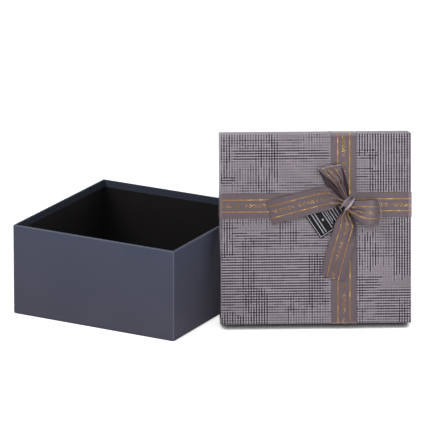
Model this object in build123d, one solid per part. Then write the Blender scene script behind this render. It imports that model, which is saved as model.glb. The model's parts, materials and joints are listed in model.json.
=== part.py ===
"""Square gift box for chocolates: an open base box, and its lift-off lid leaning beside it.

Both trays are grey board, held at the corners by paper stays, wrapped in cover paper that turns in
over the rim, and lined with dark paper. A ribbon crosses the lid each way, with a tied bow and a card
tag at the crossing.

Frame: millimetres, +Z up. The origin is the middle of the base box's underside, its walls lie along X
and Y, and the lid leans at its right-hand (+X) wall. Lid pieces are drawn with the lid face up, in the
lid's own frame: X across the face, Y up the face, Z out of it, with zero at the middle of the outer
face. lid_location then leans the lid.
"""

import os
from math import cos, pi, radians, sin, tan

from build123d import *

# Base box
box_side = 184.0
box_height = 93.0
board = 2.0  # grey board of both trays
board_edge_radius = 0.4  # folded board edge
cover_paper = 0.25
base_turn_in = 10.0  # cover paper folded inside over the rim
turn_under = 14.0  # cover paper folded under the base
bottom_sheet = 0.25
bottom_sheet_margin = 2.0

# Corner stays and linings
stay_paper = 0.1
stay_reach = 12.0  # on each side of a corner
lining_paper = 0.15
lining_overlap = 3.0  # lining over the turned-in cover paper

# Lid
lid_gap = 0.7  # free space round the base inside the lid
lid_depth = 30.0
lid_turn_in = 12.0
lid_lean = 12.0  # degrees back from upright
lid_yaw = 31.0  # degrees that the lid's face is turned from the base's front
lid_corner_y = -15.0  # where the lid's lower left corner stands along the base's right wall
resting_gap = 0.3  # between the lid and the base's rim, where it leans

# Ribbon
ribbon_width = 25.0
ribbon_thickness = 0.25
ribbon_end_gap = 1.0  # between a band's glued end and the lid's lining
ribbon_down_x = 27.9  # middle of the band down the lid
ribbon_across_y = 23.2  # middle of the band across the lid

# Tag, threaded on the bow's stem
tag_width = 30.0
tag_length = 46.5
tag_card = 0.45
tag_gap = 0.4  # under the card, over the crossing bands
over_tag_gap = 0.7  # over the card, under the bow
tag_hole_inset = 5.0  # from the tag's upper edge to the hole's centre
tag_corner_radius = 0.6
tag_heading = 213.5  # degrees from across the face, the way the tag points from the knot
stem_radius = 2.5  # tied ribbon between the bands and the knot
stem_gap = 0.5  # round the stem in the tag's hole

# Knot
knot_right = 3.0  # of the middle of the bands' crossing
knot_up = 1.8
knot_length = 14.0
knot_width = 11.0
knot_thick = 7.5
knot_rounding = 3.0
most_rounding_share = 0.45  # of the knot's least size
knot_turn = -35.0  # degrees, the lie of the wrap over the knot
pinch_width = 6.5  # bow ribbon gathered at the knot

# Loops. Each pair in a table is a share of the way out from the knot, and the value there: a share of
# the reach that the middle line stands aside, to the left of the way out, or a share of the ribbon's
# width.
right_loop_reach = 35.0
right_loop_heading = -17.8
right_loop_end_turn = 21.0  # degrees the folded end is turned from square
right_loop_crown = 12.5
right_loop_aside_shares = ((0.0, 0.0), (0.14, -0.05), (0.3, -0.157), (0.48, -0.15), (0.72, -0.09), (1.0, 0.0))
right_loop_width_shares = ((0.0, 0.0), (0.14, 0.3), (0.3, 0.68), (0.48, 0.91), (0.72, 1.0), (1.0, 1.0))
upper_loop_reach = 39.4
upper_loop_heading = 115.3
upper_loop_end_turn = -14.6
upper_loop_crown = 13.5
upper_loop_aside_shares = ((0.0, 0.0), (0.2, -0.02), (0.4, -0.036), (0.66, 0.053), (0.82, 0.046), (1.0, 0.0))
upper_loop_width_shares = ((0.0, 0.0), (0.2, 0.26), (0.4, 0.34), (0.66, 0.62), (0.82, 0.84), (1.0, 1.0))
loop_bend_radius = 2.6
loop_top_shares = ((0.0, 0.45), (0.12, 0.68), (0.25, 0.88), (0.45, 1.0), (0.7, 0.97), (0.88, 0.8))
loop_under_shares = ((0.7, 0.0), (0.4, 0.0), (0.2, 0.25), (0.1, 0.6), (0.0, 1.0))
loop_bend_steps = 4
under_rise_share = 0.33  # of the knot, that a lower layer climbs into it
slope_shares = 0.05  # of the way out, each side of a station, over which its slope is taken

# Tails, with the same tables as the loops, and the share of their rise to the knot and of their drop to
# the face
left_tail_length = 77.2
left_tail_heading = 187.6
left_tail_aside_shares = ((0.0, 0.0), (0.07, -0.01), (0.19, -0.08), (0.36, -0.072), (0.68, -0.04), (1.0, 0.0))
left_tail_width_shares = ((0.0, 0.0), (0.07, 0.26), (0.186, 0.88), (0.28, 1.0))
down_tail_length = 77.5
down_tail_heading = -100.0
down_tail_aside_shares = ((0.0, 0.0), (0.13, 0.023), (0.28, 0.043), (0.39, 0.04), (0.58, 0.031), (1.0, 0.0))
down_tail_width_shares = ((0.0, 0.0), (0.13, 0.28), (0.19, 0.6), (0.28, 0.85), (0.4, 0.95), (0.58, 1.0))
tail_rise_shares = ((0.0, 1.0), (0.1, 0.95), (0.2, 0.6), (0.3, 0.25), (0.4, 0.05), (0.5, 0.0), (1.0, 0.0))
tail_drop_shares = ((0.0, 0.0), (0.6, 0.0), (1.0, 1.0))
tail_way_shares = (0.0, 0.07, 0.13, 0.19, 0.28, 0.39, 0.5, 0.6, 0.8, 1.0)
tail_rise = 6.2  # height at which a tail leaves the knot
tail_end_gap = 0.5  # under a tail's cut end, over the band it lies on

cut_overrun = 1.0  # how far cutting solids run past what they cut

# Worked out
board_side = box_side - 2 * cover_paper
cavity_side = board_side - 2 * board
lid_side = box_side + 2 * (lid_gap + cover_paper + board + cover_paper)
lid_board_side = lid_side - 2 * cover_paper
lid_cavity_side = lid_board_side - 2 * board
wrap_edge_radius = board_edge_radius + cover_paper
base_wrap_floor = bottom_sheet
base_board_floor = base_wrap_floor + cover_paper
ribbon_turn_in = lid_turn_in - lining_overlap - ribbon_end_gap
crossing_top = 2 * ribbon_thickness
tag_back = crossing_top + tag_gap
bow_underside = tag_back + tag_card + over_tag_gap
ribbon_over_tag = bow_underside + ribbon_thickness / 2
knot_centre = Vector(ribbon_down_x + knot_right, ribbon_across_y + knot_up, 0)


def block(side, low, high, radius=0.0):
    """A square block on the Z axis from low to high, with its upright corners rounded."""
    outline = RectangleRounded(side, side, radius) if radius > 0 else Rectangle(side, side)
    return Pos(0, 0, low) * extrude(outline, high - low)


def rounded_block(side, low, high, radius):
    """A square block with every edge rounded."""
    solid = Pos(0, 0, (low + high) / 2) * Box(side, side, high - low)
    return fillet(solid.edges(), radius)


def tray_board(side, floor, rim):
    """Folded grey board: four walls and a floor, outer edges softened by the folds."""
    shell = rounded_block(side, floor, rim, board_edge_radius)
    return shell - block(side - 2 * board, floor + board, rim + cut_overrun)


def corner_stay(side, floor, rim, corner):
    """A paper tape folded round one upright corner of the board, from its floor edge to its rim."""
    low, high = floor + board_edge_radius, rim - board_edge_radius
    tape = block(side + 2 * stay_paper, low, high, board_edge_radius + stay_paper)
    tape -= block(side, low - cut_overrun, high + cut_overrun, board_edge_radius)
    reach = stay_reach + stay_paper
    middle = side / 2 + stay_paper - reach / 2
    window = Box(reach, reach, 2 * (high - low + cut_overrun))
    return tape & Rot(0, 0, 90 * corner) * Pos(middle, middle, (low + high) / 2) * window


def tray_wrap(side, floor, rim, turn_in, opening, stays):
    """Cover paper round a tray: outer walls, rim and turned-in margin, open below where opening is given."""
    outer_side = side + 2 * cover_paper
    wrap = rounded_block(outer_side, floor - cover_paper, rim + cover_paper, wrap_edge_radius)
    inner_side = side - 2 * board - 2 * cover_paper
    wrap -= block(inner_side, floor + board, rim + cover_paper + cut_overrun)
    wrap -= rounded_block(side, floor, rim, board_edge_radius)
    turned = block(inner_side + 2 * cover_paper, rim - turn_in, rim)
    turned -= block(inner_side, rim - turn_in - cut_overrun, rim + cut_overrun)
    wrap = wrap + turned
    if opening:
        wrap -= block(opening, floor - cover_paper - cut_overrun, floor + cut_overrun)
    for stay in stays:
        wrap -= stay
    return wrap


def tray_lining(cavity, floor, turned_edge):
    """Lining paper: floor and walls up to the turned-in cover paper, then stepping over its edge."""
    inner = cavity - 2 * lining_paper
    over = cavity - 2 * cover_paper
    lining = block(cavity, floor, turned_edge)
    lining -= block(inner, floor + lining_paper, turned_edge - lining_paper)
    upper = block(over, turned_edge - lining_paper, turned_edge + lining_overlap)
    lining = lining + upper
    upper_edge = turned_edge + lining_overlap
    return lining - block(over - 2 * lining_paper, floor + lining_paper, upper_edge + cut_overrun)


def base_pieces():
    """The base box, standing on its bottom sheet."""
    floor, rim = base_board_floor, box_height - cover_paper
    pieces = {"base_board": tray_board(board_side, floor, rim)}
    stays = [corner_stay(board_side, floor, rim, corner) for corner in range(4)]
    for corner, stay in enumerate(stays):
        pieces[f"base_corner_stay_{corner + 1}"] = stay
    opening = board_side - 2 * turn_under
    pieces["base_wrap"] = tray_wrap(board_side, floor, rim, base_turn_in, opening, stays)
    pieces["base_lining"] = tray_lining(cavity_side, floor + board, rim - base_turn_in)
    sheet = block(box_side - 2 * bottom_sheet_margin, 0, bottom_sheet)
    pieces["base_bottom_sheet"] = sheet + block(opening, 0, floor)
    return pieces


def lid_tray_pieces():
    """The lid's tray, turned face up: its wrap is one sheet over the face."""
    over = Rot(180, 0, 0)
    floor, rim = cover_paper, lid_depth - cover_paper
    stays = [corner_stay(lid_board_side, floor, rim, corner) for corner in range(4)]
    pieces = {"lid_board": over * tray_board(lid_board_side, floor, rim)}
    for corner, stay in enumerate(stays):
        pieces[f"lid_corner_stay_{corner + 1}"] = over * stay
    pieces["lid_wrap"] = over * tray_wrap(lid_board_side, floor, rim, lid_turn_in, None, stays)
    pieces["lid_lining"] = over * tray_lining(lid_cavity_side, floor + board, rim - lid_turn_in)
    return pieces


def ribbon_band(middle):
    """A ribbon along X over the face, walls and rims, glued inside, with its middle line at Y = middle."""
    outer = lid_side + 2 * ribbon_thickness
    rim_fold = -(lid_depth + ribbon_thickness)
    inner = lid_cavity_side - 2 * cover_paper
    height = ribbon_thickness - rim_fold
    profile = Pos(0, 0, rim_fold + height / 2) * Box(outer, ribbon_width, height)
    profile = fillet(profile.edges().filter_by(Axis.Y), ribbon_thickness + cover_paper)
    long_cut = 2 * ribbon_width
    body = fillet(Box(lid_side, long_cut, lid_depth).edges().filter_by(Axis.Y), cover_paper)
    ring = profile - Pos(0, 0, -lid_depth / 2) * body
    ring = ring + Pos(0, 0, ribbon_turn_in / 2 - lid_depth) * Box(inner, ribbon_width, ribbon_turn_in)
    hollow_height = lid_depth + ribbon_thickness
    hollow = Box(inner - 2 * ribbon_thickness, long_cut, hollow_height)
    ring -= Pos(0, 0, -ribbon_thickness - hollow_height / 2) * hollow
    return Pos(0, middle, 0) * ring


def ribbon_pieces():
    """The band across the lid, and the band down it, which steps over the first where they cross."""
    across = ribbon_band(ribbon_across_y)
    down = Rot(0, 0, 90) * ribbon_band(-ribbon_down_x)
    step_length = ribbon_width + 2 * ribbon_thickness
    step = Box(ribbon_width, step_length, ribbon_thickness)
    under_step = Box(ribbon_width + cut_overrun, ribbon_width, ribbon_thickness)
    down = down + Pos(ribbon_down_x, ribbon_across_y, crossing_top - ribbon_thickness / 2) * step
    down -= Pos(ribbon_down_x, ribbon_across_y, ribbon_thickness / 2) * under_step
    return {"ribbon_across": across, "ribbon_down": down}


def heading(angle):
    """The unit vector in the face at an angle in degrees from +X."""
    return Vector(cos(radians(angle)), sin(radians(angle)), 0)


def read_off(table, way):
    """The value at a share of the way, between the two nearest pairs of a table."""
    for (low_way, low), (high_way, high) in zip(table, table[1:]):
        if way <= high_way:
            return low + (high - low) * (way - low_way) / (high_way - low_way)
    return table[-1][1]


def bow_ribbon(reach, angle, end_turn, aside_shares, width_shares, stations):
    """A ruled length of bow ribbon through stations: a share of the way out from the knot, and a height."""
    out_way, aside_way = heading(angle), heading(angle + 90)
    ribs = []
    for way, height in stations:
        aside = read_off(aside_shares, way)
        before, after = max(way - slope_shares, 0), min(way + slope_shares, 1)
        slope = (read_off(aside_shares, after) - read_off(aside_shares, before)) / (after - before)
        square = (aside_way - out_way * slope).normalized()
        turned = aside_way * cos(radians(end_turn)) - out_way * sin(radians(end_turn))
        across = (square * (1 - way) + turned * way).normalized()
        width = max(pinch_width, ribbon_width * read_off(width_shares, way))
        centre = knot_centre + out_way * (reach * way) + aside_way * (reach * aside) + Vector(0, 0, height)
        ribs.append((centre, across * (width / 2)))
    sections = []
    last = len(ribs) - 1
    for i, (centre, half) in enumerate(ribs):
        along = ribs[min(i + 1, last)][0] - ribs[max(i - 1, 0)][0]
        out = along.cross(half).normalized() * (ribbon_thickness / 2)
        corners = [centre - half - out, centre + half - out, centre + half + out, centre - half + out]
        sections.append(Wire.make_polygon(corners, close=True))
    return Solid.make_loft(sections, ruled=True)


def bow_loop(reach, angle, end_turn, crown, aside_shares, width_shares):
    """One loop of the bow: pinched at the knot, over the crown, round its folded end and back underneath."""
    stations = [(way, crown * up) for way, up in loop_top_shares]
    bend_height = ribbon_over_tag + loop_bend_radius
    for step in range(loop_bend_steps + 1):
        angle_round = pi / 4 - step * (3 * pi / 4) / loop_bend_steps
        way = 1 - loop_bend_radius * (1 - cos(angle_round)) / reach
        stations.append((way, bend_height + loop_bend_radius * sin(angle_round)))
    under_rise = under_rise_share * knot_thick
    stations += [(way, ribbon_over_tag + under_rise * up) for way, up in loop_under_shares]
    return bow_ribbon(reach, angle, end_turn, aside_shares, width_shares, stations)


def bow_tail(length, angle, aside_shares, width_shares):
    """One tail of the bow: leaves the knot high and narrow, passes over the tag and lies low to its end."""
    rise = tail_rise - ribbon_over_tag
    drop = ribbon_over_tag - (ribbon_thickness + tail_end_gap + ribbon_thickness / 2)
    stations = []
    for way in tail_way_shares:
        up = rise * read_off(tail_rise_shares, way) - drop * read_off(tail_drop_shares, way)
        stations.append((way, ribbon_over_tag + up))
    return bow_ribbon(length, angle, 0.0, aside_shares, width_shares, stations)


def knot_solid():
    """The wrapped knot on its stem, which comes up from the crossing bands."""
    rounding = min(knot_rounding, most_rounding_share * min(knot_length, knot_width, knot_thick))
    wrap = fillet(Box(knot_length, knot_width, knot_thick).edges(), rounding)
    middle = bow_underside + knot_thick / 2
    wrap = Pos(0, 0, middle) * Rot(0, 0, knot_turn) * wrap
    stem = Pos(0, 0, crossing_top) * extrude(Circle(stem_radius), middle - crossing_top)
    return Pos(knot_centre) * (wrap + stem)


def bow_pieces():
    """The bow's knot, two loops and two tails. It is one length of ribbon, cut into nodes at the knot."""
    knot = knot_solid()
    right_loop = (right_loop_reach, right_loop_heading, right_loop_end_turn, right_loop_crown)
    upper_loop = (upper_loop_reach, upper_loop_heading, upper_loop_end_turn, upper_loop_crown)
    pieces = {
        "bow_loop_right": bow_loop(*right_loop, right_loop_aside_shares, right_loop_width_shares),
        "bow_loop_upper": bow_loop(*upper_loop, upper_loop_aside_shares, upper_loop_width_shares),
        "bow_tail_left": bow_tail(
            left_tail_length, left_tail_heading, left_tail_aside_shares, left_tail_width_shares
        ),
        "bow_tail_down": bow_tail(
            down_tail_length, down_tail_heading, down_tail_aside_shares, down_tail_width_shares
        ),
    }
    pieces = {name: piece - knot for name, piece in pieces.items()}
    pieces["bow_knot"] = knot
    return pieces


def tag_pieces():
    """The card tag, threaded on the ribbon's stem under the knot."""
    card = RectangleRounded(tag_length, tag_width, tag_corner_radius)
    card = Pos(tag_length / 2 - tag_hole_inset, 0) * card - Circle(stem_radius + stem_gap)
    tag = Pos(0, 0, tag_back) * extrude(card, tag_card)
    return {"hang_tag": Pos(knot_centre) * Rot(0, 0, tag_heading) * tag}


def lid_location():
    """Leans the lid: its ribbon's rim fold on the ground, and its left rear edge against the base's rim."""
    lean, yaw = radians(lid_lean), radians(lid_yaw)
    across = Vector(cos(yaw), sin(yaw), 0)
    face_way = Vector(sin(yaw), -cos(yaw), 0)
    out = face_way * cos(lean) + Vector(0, 0, sin(lean))
    up = Vector(0, 0, cos(lean)) - face_way * sin(lean)
    fold_radius = ribbon_thickness + cover_paper
    corner_height = fold_radius - cover_paper * (cos(lean) + sin(lean))
    corner_x = box_side / 2 + resting_gap + box_height * tan(lean) * sin(yaw)
    corner = Vector(corner_x, lid_corner_y, corner_height)
    middle = corner + (across + up) * (lid_side / 2) + out * lid_depth
    return Plane(origin=middle, x_dir=across, z_dir=out).location


lid_place = lid_location()
lid_parts = {**lid_tray_pieces(), **ribbon_pieces(), **bow_pieces(), **tag_pieces()}
parts = {**base_pieces(), **{name: lid_place * piece for name, piece in lid_parts.items()}}

os.makedirs("parts", exist_ok=True)
for name, piece in parts.items():
    export_step(piece, f"parts/{name}.step")
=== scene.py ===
"""Dresses a chocolate gift box: papers, printed lid, ribbon bands, tied bow and card tag.

Lengths are metres in the model's own frame. Pieces of the lid are drawn in millimetres in the lid's
own frame: x across the face, y up it and h out of it, from the middle of the outer face.
"""
import json
from math import cos, pi, radians, sin

import bpy
import numpy as np
from bpy.props import FloatProperty, FloatVectorProperty, PointerProperty
from mathutils import Matrix, Vector


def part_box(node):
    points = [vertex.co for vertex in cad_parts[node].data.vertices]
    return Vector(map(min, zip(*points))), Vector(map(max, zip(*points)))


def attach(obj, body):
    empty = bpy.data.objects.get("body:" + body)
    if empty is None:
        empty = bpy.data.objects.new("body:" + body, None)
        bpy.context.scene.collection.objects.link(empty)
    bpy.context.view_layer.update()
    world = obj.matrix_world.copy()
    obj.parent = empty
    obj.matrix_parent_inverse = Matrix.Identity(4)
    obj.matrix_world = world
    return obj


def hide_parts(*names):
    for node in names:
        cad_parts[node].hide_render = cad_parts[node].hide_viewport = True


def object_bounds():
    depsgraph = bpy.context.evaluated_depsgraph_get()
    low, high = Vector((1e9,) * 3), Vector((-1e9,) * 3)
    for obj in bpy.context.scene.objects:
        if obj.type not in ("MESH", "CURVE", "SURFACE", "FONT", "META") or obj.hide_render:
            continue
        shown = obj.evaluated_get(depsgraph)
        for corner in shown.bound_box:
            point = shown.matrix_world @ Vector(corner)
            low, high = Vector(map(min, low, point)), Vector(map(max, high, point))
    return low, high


bl_info = {
    "name": "Chocolate gift box",
    "version": (1, 0, 0),
    "blender": (4, 5, 0),
    "location": "View3D > Sidebar > Gift box",
    "description": "Dresses a rigid gift box with papers, ribbon bands, a bow and a tag",
    "category": "Object",
}

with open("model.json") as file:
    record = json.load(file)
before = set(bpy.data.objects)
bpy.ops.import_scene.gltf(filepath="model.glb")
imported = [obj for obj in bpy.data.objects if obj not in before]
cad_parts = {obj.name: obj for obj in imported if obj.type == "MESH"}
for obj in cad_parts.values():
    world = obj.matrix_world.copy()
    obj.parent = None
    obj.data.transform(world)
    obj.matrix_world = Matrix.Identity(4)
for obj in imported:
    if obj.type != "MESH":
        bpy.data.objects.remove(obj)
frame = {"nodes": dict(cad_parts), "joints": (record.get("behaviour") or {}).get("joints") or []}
cad_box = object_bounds()

MM = 0.001
RIBBON_MAP = "ribbon_millimetres"
# The mesh attribute that holds how strongly the painted satin highlight shows
HIGHLIGHT_ATTRIBUTE = "highlight_layer"
# How soft the edge of a metallic line is, in millimetres
FOIL_EDGE = 0.14

# Colours of the papers along their folds, where wear and a painted highlight lighten them, of the painted
# satin highlight, and of the painted glints on the gold
WORN_AND_HIGHLIT_COVER = (0.20, 0.215, 0.29)
WORN_AND_HIGHLIT_PRINT = (0.66, 0.62, 0.67)
SATIN_HIGHLIGHT = (0.66, 0.58, 0.65)
GOLD_GLINT = (0.66, 0.42, 0.12)


class LidFace:
    """The lid's outer face: its middle, and the ways across it, up it and out of it."""

    def __init__(self):
        swing = next(joint for joint in frame["joints"] if joint["name"] == "tag_swing")
        self.out = Vector(swing["axis"]).normalized()
        self.across = Vector((0, 0, 1)).cross(self.out).normalized()
        self.up = self.out.cross(self.across)
        low, high = self.reach("lid_wrap")
        self.middle = Vector((0, 0, 0))
        self.middle += self.across * (low[0] + high[0]) / 2
        self.middle += self.up * (low[1] + high[1]) / 2
        self.middle += self.out * high[2]
        self.knot = self.flat(swing["pos_m"])

    def flat(self, point):
        """A point of the model in millimetres across, up and out of the face."""
        offset = Vector(point) - self.middle
        return np.array([offset.dot(self.across), offset.dot(self.up), offset.dot(self.out)]) / MM

    def reach(self, node):
        """A node's lowest and highest places across, up and out, in metres from the model's origin."""
        points = np.array([vertex.co for vertex in frame["nodes"][node].data.vertices])
        places = points @ np.array([self.across, self.up, self.out]).T
        return places.min(0), places.max(0)

    def span(self, node):
        """A node's lowest and highest places in the face's own millimetres."""
        zero = np.array([self.middle.dot(way) for way in (self.across, self.up, self.out)])
        return [(place - zero) / MM for place in self.reach(node)]

    def place(self, points):
        """Rows of x, y and h in millimetres, as points of the model in metres."""
        ways = np.array([self.across, self.up, self.out])
        return np.asarray(points) @ ways * MM + np.array(self.middle)


face = LidFace()
wrap_low, wrap_high = face.span("lid_wrap")
across_low, across_high = face.span("ribbon_across")
down_low, down_high = face.span("ribbon_down")
lid_half = wrap_high[0]
lid_depth = -wrap_low[2]
base_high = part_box("base_wrap")[1]


def colour(name, description, default):
    """A colour that the user can change."""
    return FloatVectorProperty(
        name=name, description=description, subtype="COLOR", size=3, min=0.0, max=1.0, default=default
    )


def number(name, description, default, **kind):
    """A number that the user can change."""
    return FloatProperty(name=name, description=description, default=default, **kind)


def length(name, description, default):
    """A length in metres that the user can change."""
    return number(name, description, default, unit="LENGTH", precision=4)


def degrees(name, description, default):
    """An angle that the user can change, with its default in degrees."""
    return number(name, description, radians(default), subtype="ANGLE")


class PaperSettings(bpy.types.PropertyGroup):
    """Colours of the papers and the board."""

    cover: colour("Base cover", "Colour of the base's cover paper", (0.094, 0.097, 0.136))
    lining: colour("Lining", "Colour of the lining paper", (0.0068, 0.0052, 0.0050))
    bottom: colour("Bottom sheet", "Colour of the sheet under the base", (0.03, 0.03, 0.034))
    board: colour("Board", "Colour of the grey board", (0.3, 0.28, 0.25))
    stay: colour("Corner stays", "Colour of the tapes on the board's corners", (0.45, 0.34, 0.22))


class PrintSettings(bpy.types.PropertyGroup):
    """The lid's printed paper."""

    ground: colour("Ground", "Colour of the bare paper", (0.300, 0.267, 0.290))
    ink: colour("Ink", "Colour of the printed lines", (0.016, 0.016, 0.028))
    pitch: length("Pitch", "From one printed line to the next", 2.65 * MM)
    line: length("Line", "Width of a printed line", 1.6 * MM)


class RibbonSettings(bpy.types.PropertyGroup):
    """The ribbon of the bands and the bow."""

    width: length("Width", "Width of the ribbon", (down_high[0] - down_low[0]) * MM)
    thickness: length("Thickness", "Thickness of the ribbon", across_high[2] * MM)
    satin: colour("Satin", "Colour of the ribbon", (0.121, 0.077, 0.0925))
    gold: colour("Gold", "Colour of the metallic lines", (0.24, 0.124, 0.020))
    line_place: length("Line place", "From the ribbon's middle to a gold line", 6.0 * MM)
    line_width: length("Line width", "Width of a gold line", 0.78 * MM)
    repeat: length("Repeat", "From one heart to the next", 60.9 * MM)


class TagSettings(bpy.types.PropertyGroup):
    """The card tag."""

    card: colour("Card", "Colour of the card", (0.007, 0.0065, 0.008))
    lines: colour("Lines", "Colour of the printed lines", (0.56, 0.55, 0.62))
    heading: degrees("Heading", "The way the tag points from the knot, from across the face", 213.5)


class StudioSettings(bpy.types.PropertyGroup):
    """Floor, light and camera."""

    floor: colour("Floor", "Colour of the floor", (0.88, 0.85, 0.86))
    sky: number("Sky", "Strength of the light from all sides", 0.185)
    glow: number("Glow", "How much lighter the camera sees the floor", 0.84)
    key: number("Key lamp", "Power of the soft lamp", 20.5, unit="POWER")
    fill: number("Fill lamp", "Power of the wide lamp", 4.0, unit="POWER")
    azimuth: degrees("Azimuth", "The way the camera looks, from +Y", 28.0233)
    elevation: degrees("Elevation", "Height of the camera's view", 17.1444)
    roll: degrees("Roll", "Turn of the camera about its view", 0.3439)
    distance: length("Distance", "From the camera to the box", 4.29573)
    aside: length("Aside", "How far the camera aims to the right of the origin", 0.07827)
    above: length("Above", "How far the camera aims above the origin", 0.08877)
    lens: number("Lens", "Focal length in millimetres", 352.93)


def maths(operation, turned=False):
    """A method that adds a Math node for its own value and then the others, or the others first."""
    def method(self, *others):
        values = (*others, self) if turned else (self, *others)
        return self.finish.node("ShaderNodeMath", {"operation": operation}, enumerate(values))
    return method


class Link:
    """A shader socket. Sums on it, with numbers or other sockets, add Math nodes."""

    __add__ = __radd__ = maths("ADD")
    __sub__ = maths("SUBTRACT")
    __rsub__ = maths("SUBTRACT", turned=True)
    __mul__ = __rmul__ = maths("MULTIPLY")
    __truediv__ = maths("DIVIDE")
    __pow__ = maths("POWER")
    __lt__ = maths("LESS_THAN")
    __gt__ = maths("GREATER_THAN")
    __abs__ = maths("ABSOLUTE")
    floor = maths("FLOOR")
    sine = maths("SINE")
    sign = maths("SIGN")
    least = maths("MINIMUM")
    most = maths("MAXIMUM")
    wrap = maths("WRAP")

    def __init__(self, finish, socket):
        self.finish = finish
        self.socket = socket

    def wrapped(self, reach):
        """This value brought between -reach and reach, over and over."""
        return self.wrap(reach, -reach)

    def held(self):
        """This value kept between 0 and 1."""
        return (self + 0.0).clamped()

    def clamped(self):
        """The same value, whose own Math node now keeps it between 0 and 1."""
        self.socket.node.use_clamp = True
        return self


class Nodes:
    """A node tree that starts empty."""

    def __init__(self, tree):
        self.tree = tree
        tree.nodes.clear()

    def node(self, kind, settings=(), inputs=(), output=0):
        """A node of a kind, with its settings, then the values or links of its sockets."""
        made = self.tree.nodes.new(kind)
        for name, value in dict(settings).items():
            setattr(made, name, value)
        for key, value in dict(inputs).items():
            if isinstance(value, Link):
                self.tree.links.new(value.socket, made.inputs[key])
            else:
                made.inputs[key].default_value = value
        return Link(self, made.outputs[output])

    def dot(self, vector, way):
        """How far a vector reaches along a way."""
        return self.node("ShaderNodeVectorMath", {"operation": "DOT_PRODUCT"}, {0: vector, 1: way}, "Value")

    def mixed(self, share, low, high):
        """A colour between two colours."""
        inputs = {0: share}
        for key, value in ((6, low), (7, high)):
            inputs[key] = value if isinstance(value, Link) else (*value, 1.0)
        return self.node("ShaderNodeMix", {"data_type": "RGBA"}, inputs, 2)

    def shaded(self, tint, brightness):
        """A colour made lighter or darker by a value."""
        inputs = {0: 1.0, 6: tint if isinstance(tint, Link) else (*tint, 1.0), 7: brightness}
        return self.node("ShaderNodeMix", {"data_type": "RGBA", "blend_type": "MULTIPLY"}, inputs, 2)

    def looked_at(self):
        """1 for rays that show a thing to the camera, straight or in a gloss, and 0 for light."""
        straight = self.node("ShaderNodeLightPath", output="Is Camera Ray")
        glossy = self.node("ShaderNodeLightPath", output="Is Glossy Ray")
        through = self.node("ShaderNodeLightPath", output="Is Transmission Ray")
        return (straight + glossy + through).clamped()


class Finish(Nodes):
    """A procedural finish: a Principled shader, and the nodes that feed it."""

    def __init__(self, name, constants):
        self.material = bpy.data.materials.new(name)
        self.material.use_nodes = True
        super().__init__(self.material.node_tree)
        self.shader = self.tree.nodes.new("ShaderNodeBsdfPrincipled")
        self.output = self.tree.nodes.new("ShaderNodeOutputMaterial")
        self.tree.links.new(self.shader.outputs[0], self.output.inputs["Surface"])
        for socket, value in constants.items():
            self.shader.inputs[socket].default_value = value

    def feed(self, **sockets):
        """Links values to the shader's sockets, whose names have underscores for spaces."""
        for name, link in sockets.items():
            self.tree.links.new(link.socket, self.shader.inputs[name.replace("_", " ")])

    def place(self):
        """Where a point is in the model, in metres."""
        return self.node("ShaderNodeTexCoord", output="Object")

    def along(self, place, way, start=Vector((0, 0, 0))):
        """How far a place lies along a way from a starting point, in millimetres."""
        return self.dot(place, way) * (1 / MM) - start.dot(way) / MM

    def joined(self, x, y, z=0.0):
        return self.node("ShaderNodeCombineXYZ", inputs={0: x, 1: y, 2: z})

    def noise(self, place, scale, detail=2.0, roughness=0.5):
        """Smooth noise between 0 and 1."""
        inputs = {"Vector": place, "Scale": scale, "Detail": detail, "Roughness": roughness}
        return self.node("ShaderNodeTexNoise", inputs=inputs)

    def flow(self, x, y, detail, roughness=0.5, seed=0.0):
        """Smooth noise between 0 and 1 over x and y."""
        return self.noise(self.joined(x, y, seed), 1.0, detail, roughness)

    def chance(self, x, y, seed):
        """A number between 0 and 1 drawn for a whole x, a whole y and a seed."""
        settings = {"noise_dimensions": "3D"}
        return self.node("ShaderNodeTexWhiteNoise", settings, {"Vector": self.joined(x, y, seed)})

    def bump(self, height, distance, strength=1.0):
        """Relief from a height between 0 and 1, which stands for a distance in metres."""
        inputs = {"Height": height, "Distance": distance, "Strength": strength}
        self.feed(Normal=self.node("ShaderNodeBump", inputs=inputs))


def soft_step(value, edge, softness):
    """0 below an edge and 1 above it, over a soft width."""
    return ((value - edge) * (1 / softness) + 0.5).held()


def stripe(value, middle, half, softness):
    """1 within half a width of the middle and 0 outside, with soft edges."""
    return soft_step(half - abs(value - middle), 0.0, softness)


def plain_paper(name, tint, grain, fibre, roughness):
    """Uncoated paper or board: a fine grain, longer fibres and a faint mottle."""
    finish = Finish(name, {"Specular IOR Level": 0.3})
    place = finish.place()
    fine = finish.noise(place, 1400, 3)
    fibres = finish.noise(finish.node("ShaderNodeMapping", inputs={0: place, "Scale": (1, 4, 1)}), 220, 4)
    mottle = finish.noise(place, 26, 2)
    shade = 1 + grain * (fine - 0.5) + fibre * (fibres - 0.5) + 0.12 * (mottle - 0.5)
    finish.feed(Base_Color=finish.shaded(tint, shade), Roughness=roughness + 0.1 * (mottle - 0.5))
    finish.bump(fine * 0.6 + fibres * 0.4, 0.00005, 0.5)
    return finish.material


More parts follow.
